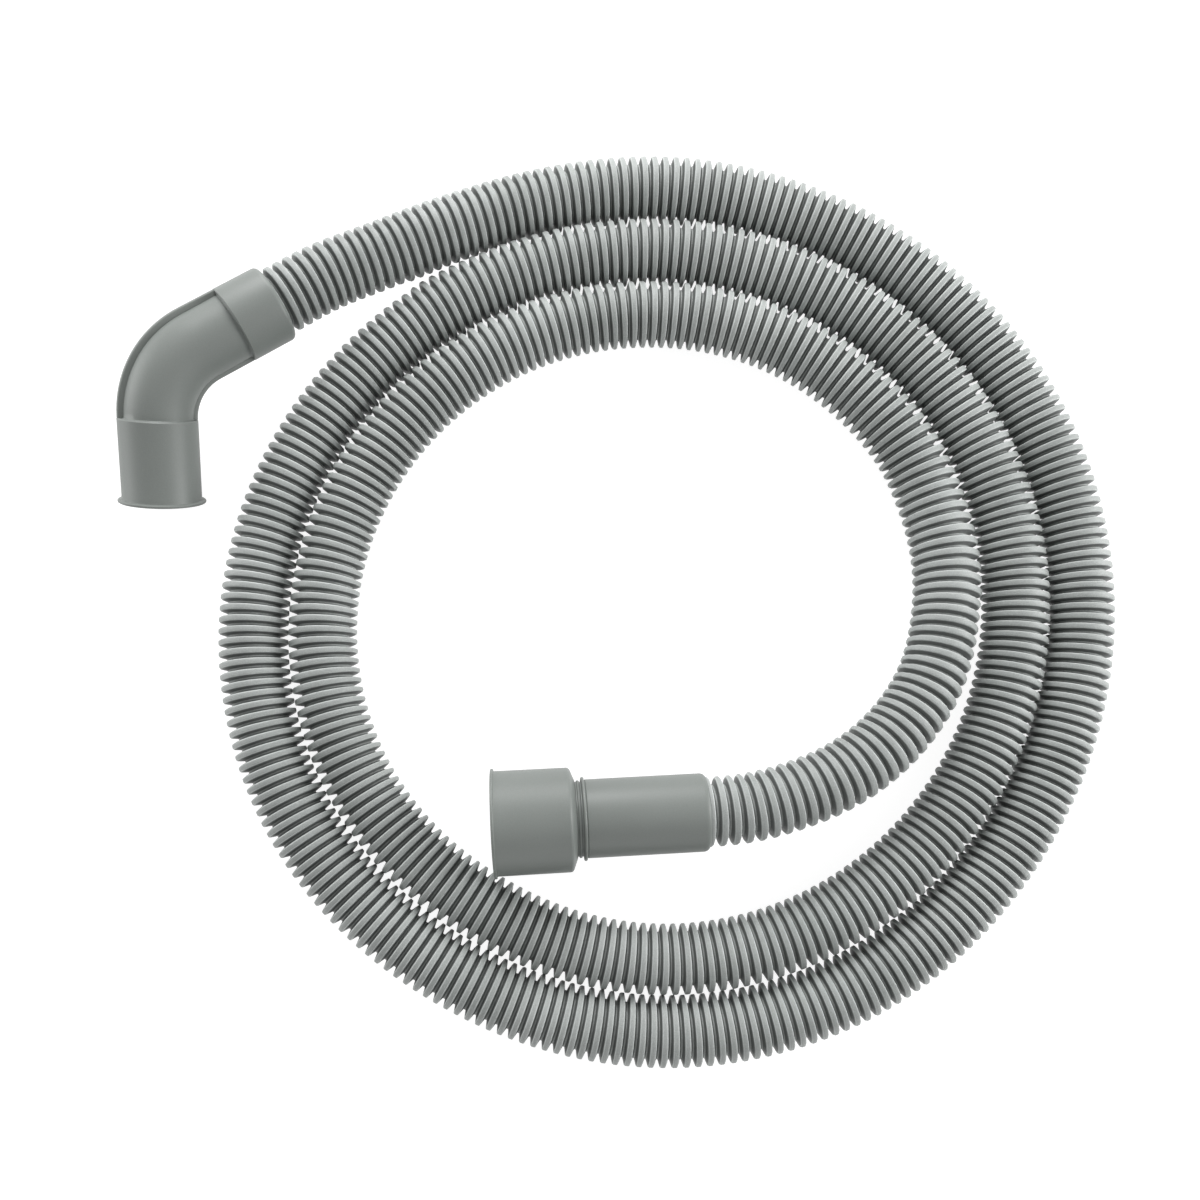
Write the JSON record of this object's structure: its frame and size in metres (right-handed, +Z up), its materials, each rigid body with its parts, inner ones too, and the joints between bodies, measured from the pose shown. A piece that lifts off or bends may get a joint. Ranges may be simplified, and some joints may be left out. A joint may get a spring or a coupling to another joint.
{
  "type": "dishwasher drain hose",
  "caption": "Corrugated grey drain hose, coiled flat, with a moulded bent elbow cuff at one end and a straight stepped cuff with a wider socket at the other.",
  "frame": {"origin": "on the surface that the coiled hose lies on, in the middle of its footprint", "axes": "+Z up out of the coil, +X towards the side of the coil away from the elbow, +Y towards the side where the outer turn starts"},
  "size_m": [0.342, 0.3154, 0.0398],
  "materials": {
    "hose": "light grey blow-moulded plastic with a fine dull grain",
    "cuff": "smooth satin grey moulded rubber"
  },
  "bodies": {
    "root": {"corrugated_hose": "hose", "elbow_cuff": "cuff", "straight_cuff": "cuff"}
  },
  "joints": []
}
